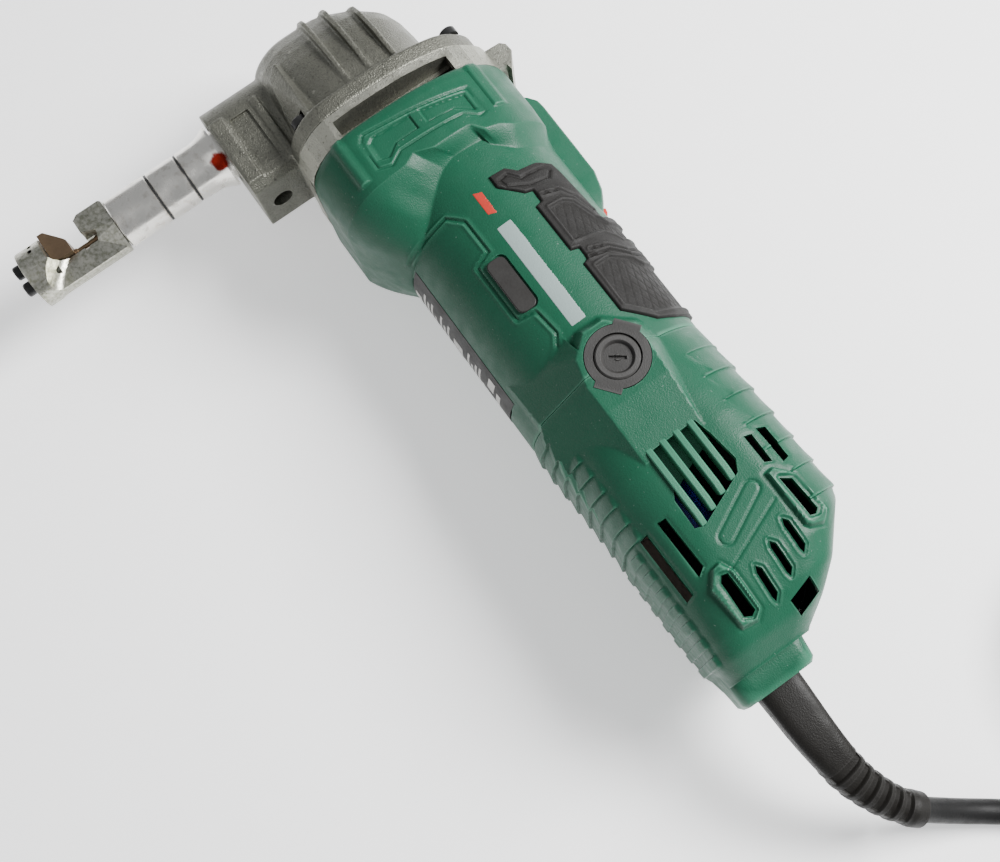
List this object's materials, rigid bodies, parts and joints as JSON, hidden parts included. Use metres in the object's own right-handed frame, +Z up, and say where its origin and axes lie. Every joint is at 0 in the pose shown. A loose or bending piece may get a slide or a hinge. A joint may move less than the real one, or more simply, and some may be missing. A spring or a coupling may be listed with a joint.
{
  "type": "electric nibbler",
  "caption": "Corded sheet metal nibbler: round motor grip with rubber saddle and slide switch, cast gear head, and a right-angled steel arm with punch and die.",
  "frame": {"origin": "on the table plane, straight below the motor axis, on the flat land of the collar's right side on which the tool lies", "axes": "+X forward along the motor axis to the gear case, +Y the punching direction along the arm, +Z up, which is the tool's left side"},
  "size_m": [0.3859, 0.3149, 0.072],
  "materials": {
    "green_plastic": "moulded glass-filled nylon with a fine satin grain",
    "grip_rubber": "soft overmoulded rubber with ribbed diamond pads",
    "cast_aluminium": "as-cast aluminium with machined edges",
    "polished_steel": "turned and polished steel",
    "plated_steel": "zinc-plated steel with a dull yellowish speckle",
    "tool_steel": "hardened tool steel with straw to bronze temper colour",
    "black_steel": "black oxide",
    "grey_plastic": "dark grey moulded plastic",
    "red_plastic": "red moulded plastic",
    "label_foil": "dark printed foil, left blank",
    "copper": "enamelled copper",
    "iron": "laminated electrical steel",
    "carbon": "pressed carbon",
    "brass": "plain brass",
    "blue_plastic": "blue capacitor sleeve",
    "cream_plastic": "cream moulded plastic",
    "cord_black": "black rubber cable sheath"
  },
  "bodies": {
    "root": {"gear_case": "cast_aluminium", "bearing_plate": "cast_aluminium", "motor_housing": "green_plastic", "rear_cover_left": "green_plastic", "rear_cover_right": "green_plastic", "grip_overmould": "grip_rubber", "nameplate": "label_foil", "badge_plate": "label_foil", "case_screw_1": "black_steel", "case_screw_2": "black_steel", "case_screw_3": "black_steel", "case_screw_4": "black_steel", "clamp_screw": "black_steel", "stator_core": "iron", "field_coil_upper": "copper", "field_coil_lower": "copper", "front_bearing": "polished_steel", "rear_bearing": "polished_steel", "fan_baffle": "grey_plastic", "shaft_bush_rear": "brass", "shaft_bush_front": "brass", "switch_unit": "grey_plastic", "suppressor_capacitor": "blue_plastic", "wire_tray": "cream_plastic", "strain_relief": "cord_black", "cord": "cord_black", "cord_end": "cord_black", "cord_coil": "cord_black", "plug": "cord_black", "cord_tie": "red_plastic", "carbon_brush_left": "carbon", "brush_holder_left": "brass", "brush_spring_left": "polished_steel", "brush_ring_left": "grey_plastic", "brush_cap_left": "grey_plastic", "carbon_brush_right": "carbon", "brush_holder_right": "brass", "brush_spring_right": "polished_steel", "brush_ring_right": "grey_plastic", "brush_cap_right": "grey_plastic"},
    "armature": {"armature_shaft": "polished_steel", "armature_core": "iron", "winding_front": "copper", "winding_rear": "copper", "commutator": "copper", "fan": "grey_plastic", "pinion": "polished_steel"},
    "crank": {"drive_gear": "polished_steel", "eccentric_shaft": "polished_steel", "crank_bearing": "brass"},
    "ram": {"ram": "polished_steel", "punch": "tool_steel"},
    "head": {"arm_tube": "polished_steel", "ram_bush_rear": "brass", "ram_bush_front": "brass", "die_holder": "plated_steel", "die_block": "tool_steel", "die_screw_1": "black_steel", "die_screw_2": "black_steel"},
    "switch": {"switch_slider": "red_plastic"}
  },
  "joints": [
    {"name": "armature_spin", "type": "hinge", "parent": "root", "child": "armature", "pos_m": [0, 0, 0.036], "axis": [1, 0, 0], "continuous": true},
    {"name": "crank_spin", "type": "hinge", "parent": "root", "child": "crank", "pos_m": [0, 0.015, 0.036], "axis": [1, 0, 0], "continuous": true},
    {"name": "ram_slide", "type": "slide", "parent": "root", "child": "ram", "axis": [0, 1, 0], "range_m": [0, 0.005]},
    {"name": "head_turn", "type": "hinge", "parent": "root", "child": "head", "pos_m": [0.0495, 0.09, 0.036], "axis": [0, 1, 0], "range_deg": [-180, 180]},
    {"name": "switch_slide", "type": "slide", "parent": "root", "child": "switch", "axis": [1, 0, 0], "range_m": [0, 0.006]}
  ],
  "couplings": [
    {"joint": "crank_spin", "follows": "armature_spin", "ratio": -0.25}
  ]
}
